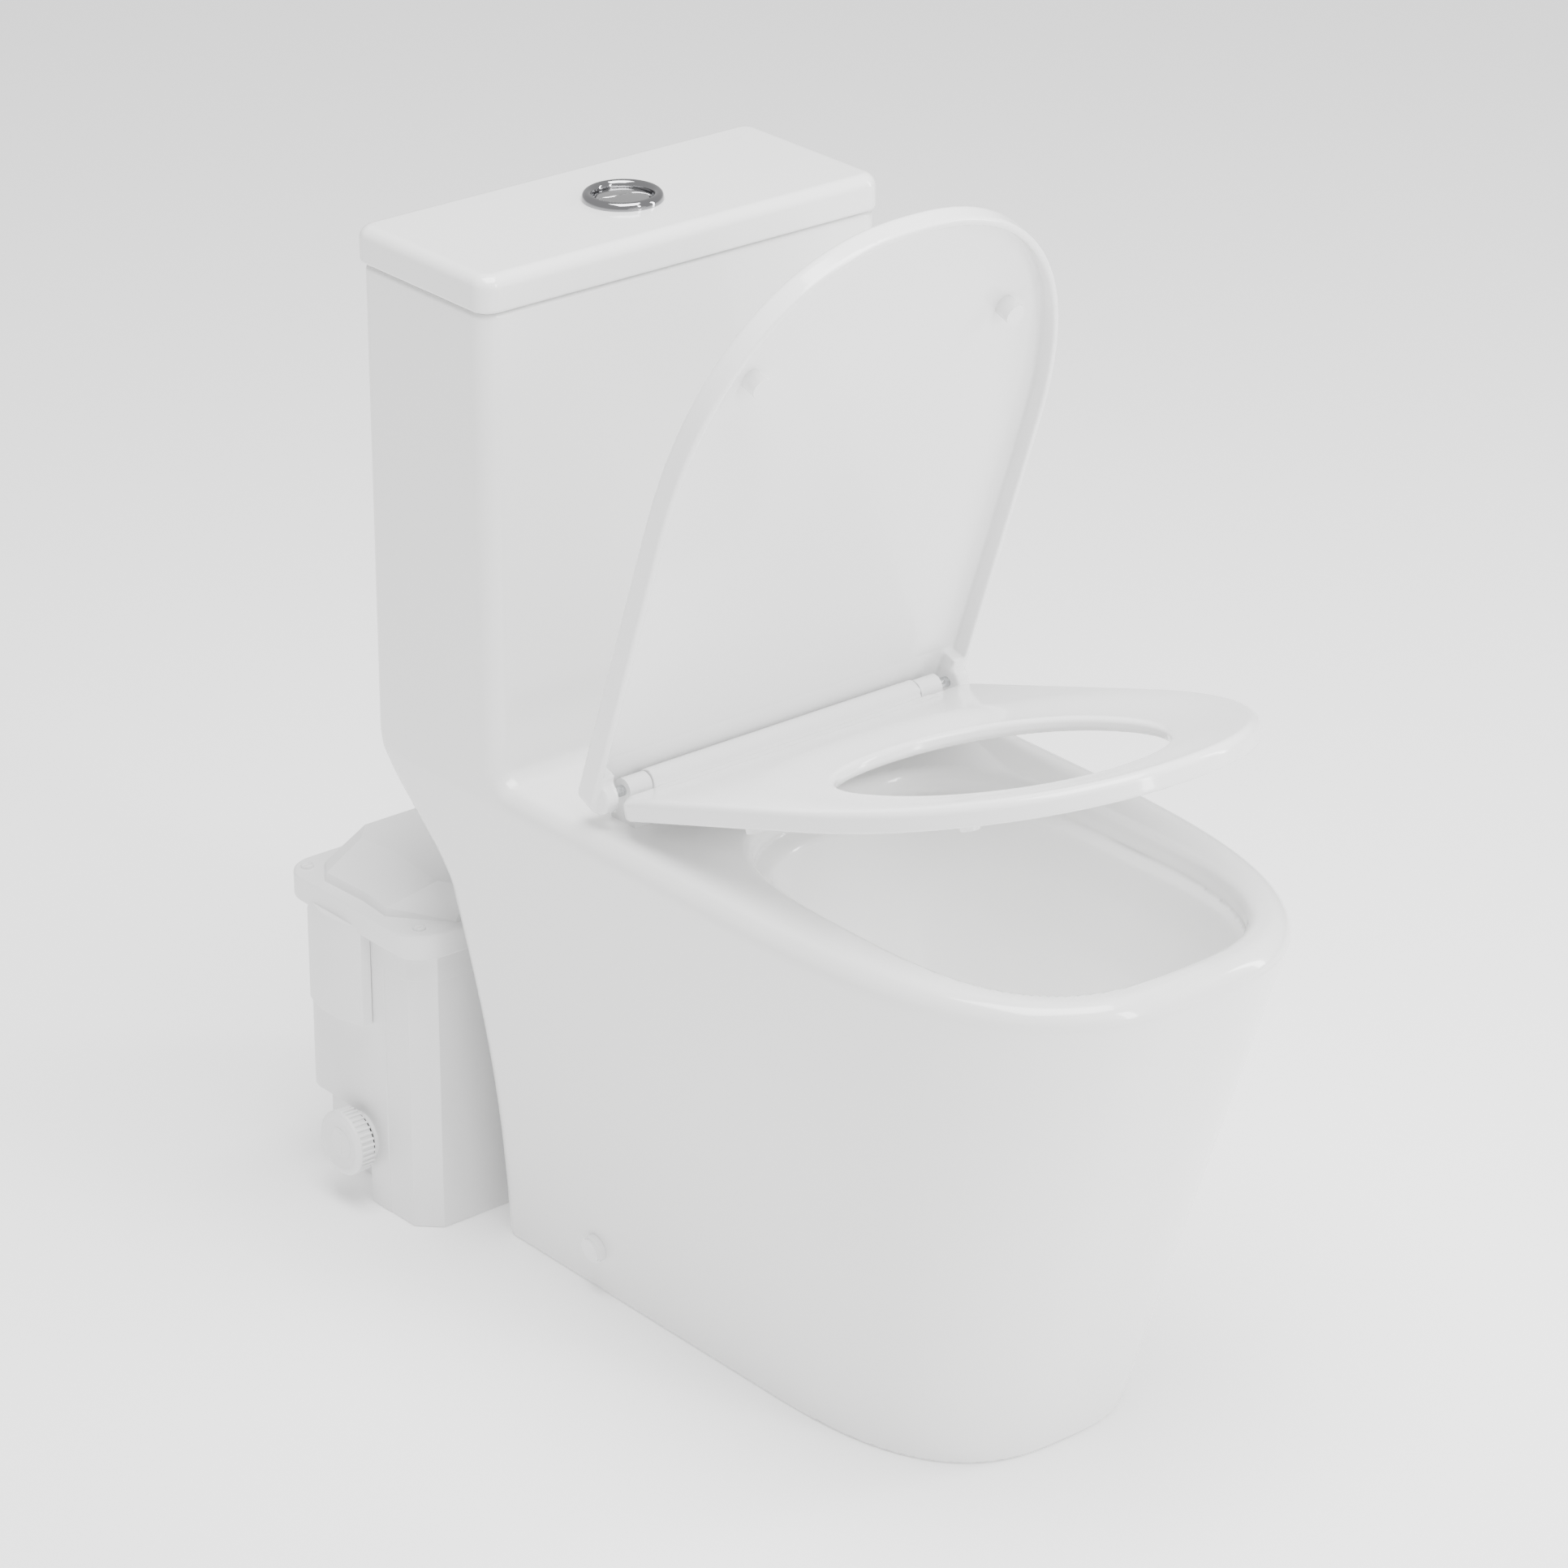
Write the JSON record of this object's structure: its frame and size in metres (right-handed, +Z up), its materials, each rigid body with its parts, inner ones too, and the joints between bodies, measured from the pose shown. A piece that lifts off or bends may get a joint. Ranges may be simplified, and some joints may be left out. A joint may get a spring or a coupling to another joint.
{
  "type": "close coupled toilet",
  "caption": "Close coupled toilet with a one-piece ceramic pan and cistern, dual flush button, soft-close D-shaped seat and cover, and a macerator pump box behind the pan.",
  "frame": {"origin": "on the floor, on the left-right centre line, midway between the rim's front and the back of the macerator's lid", "axes": "+Z up; the front of the pan faces -Y; +X to the right seen from the front"},
  "size_m": [0.39, 0.836, 0.8863],
  "materials": {
    "glazed_ceramic": "glossy glaze",
    "seat_plastic": "glossy",
    "macerator_plastic": "satin",
    "valve_plastic": "moulded",
    "grey_plastic": "moulded",
    "chrome": "polished",
    "rubber": "matte",
    "steel": "brushed",
    "brass": "turned"
  },
  "bodies": {
    "toilet": {"pan_front": "glazed_ceramic", "pan_back": "glazed_ceramic", "bowl_and_trap": "glazed_ceramic", "cistern": "glazed_ceramic", "flush_valve_base": "valve_plastic", "flush_valve_gasket": "rubber", "flush_valve_screws": "brass", "flush_valve_tower": "valve_plastic", "fill_valve_body": "valve_plastic", "fill_valve_gasket": "rubber", "fill_valve_nut": "valve_plastic", "hinge_posts": "seat_plastic", "hinge_pins": "steel", "hinge_bolts": "steel", "hinge_washers": "rubber", "hinge_wing_nuts": "seat_plastic", "bolt_caps": "seat_plastic", "side_screws": "steel", "floor_brackets": "valve_plastic", "inlet_boot": "rubber", "boot_clips": "steel", "macerator_case": "macerator_plastic", "macerator_lid": "macerator_plastic", "lid_gasket": "rubber", "lid_screws": "macerator_plastic", "side_ducts": "macerator_plastic", "inlet_cap_seals": "rubber", "motor_housing": "grey_plastic", "strainer_basket": "valve_plastic", "pump_volute": "grey_plastic", "pressure_switch": "grey_plastic", "discharge_elbow": "valve_plastic", "discharge_clip": "steel", "cable_gland": "rubber", "macerator_feet": "rubber"},
    "lid": {"cistern_lid": "glazed_ceramic", "button_bezel": "chrome", "button_housing": "valve_plastic", "button_nut": "valve_plastic", "full_button_spring": "steel", "half_button_spring": "steel"},
    "full_button": {"full_flush_button": "chrome", "full_push_rod": "grey_plastic"},
    "half_button": {"half_flush_button": "chrome", "half_push_rod": "grey_plastic"},
    "valve": {"overflow_tube": "grey_plastic", "valve_seal": "rubber"},
    "float": {"fill_valve_float": "grey_plastic"},
    "float_lever": {"fill_valve_lever": "valve_plastic"},
    "seat": {"seat_ring": "seat_plastic", "seat_buffers": "seat_plastic", "hinge_dampers": "grey_plastic"},
    "cover": {"seat_cover": "seat_plastic", "cover_buffers": "seat_plastic"},
    "left_cap": {"left_inlet_cap": "macerator_plastic"},
    "right_cap": {"right_inlet_cap": "macerator_plastic"},
    "rotor": {"motor_shaft": "steel", "grinder_blade": "steel", "pump_impeller": "grey_plastic"},
    "flap": {"check_valve_flap": "rubber"}
  },
  "joints": [
    {"name": "lid_lift", "type": "slide", "parent": "toilet", "child": "lid", "axis": [0, 0, 1], "range_m": [0, 0.08]},
    {"name": "full_flush_press", "type": "slide", "parent": "lid", "child": "full_button", "axis": [0, 0, -1], "range_m": [0, 0.006], "stiffness_N_per_m": 300, "springref_m": -0.01, "deforming": ["full_button_spring"]},
    {"name": "half_flush_press", "type": "slide", "parent": "lid", "child": "half_button", "axis": [0, 0, -1], "range_m": [0, 0.006], "stiffness_N_per_m": 300, "springref_m": -0.01, "deforming": ["half_button_spring"]},
    {"name": "valve_lift", "type": "slide", "parent": "toilet", "child": "valve", "axis": [0, 0, 1], "range_m": [0, 0.015]},
    {"name": "float_rise", "type": "slide", "parent": "toilet", "child": "float", "axis": [0, 0, 1], "range_m": [0, 0.015]},
    {"name": "float_lever_swing", "type": "hinge", "parent": "toilet", "child": "float_lever", "pos_m": [0.108, 0.178, 0.6345], "axis": [0, 1, 0], "range_deg": [0, 21]},
    {"name": "seat_lift", "type": "hinge", "parent": "toilet", "child": "seat", "pos_m": [0, 0.032, 0.445], "axis": [1, 0, 0], "range_deg": [-31, 17.5]},
    {"name": "cover_lift", "type": "hinge", "parent": "seat", "child": "cover", "pos_m": [0, 0.032, 0.445], "axis": [-1, 0, 0], "range_deg": [-52.8, 31]},
    {"name": "left_cap_turn", "type": "hinge", "parent": "toilet", "child": "left_cap", "pos_m": [-0.185, 0.332, 0.054], "axis": [-1, 0, 0], "range_deg": [0, 90]},
    {"name": "right_cap_turn", "type": "hinge", "parent": "toilet", "child": "right_cap", "pos_m": [0.185, 0.332, 0.054], "axis": [1, 0, 0], "range_deg": [0, 90]},
    {"name": "rotor_spin", "type": "hinge", "parent": "toilet", "child": "rotor", "pos_m": [0.06, 0.326, 0.1], "axis": [0, 0, 1], "continuous": true},
    {"name": "flap_swing", "type": "hinge", "parent": "toilet", "child": "flap", "pos_m": [0.044, 0.384, 0.2194], "axis": [0, 1, 0], "range_deg": [0, 40]}
  ],
  "couplings": [
    {"joint": "valve_lift", "follows": "full_flush_press", "ratio": 2.5},
    {"joint": "float_lever_swing", "follows": "float_rise", "rad_per_m": 24.4}
  ]
}
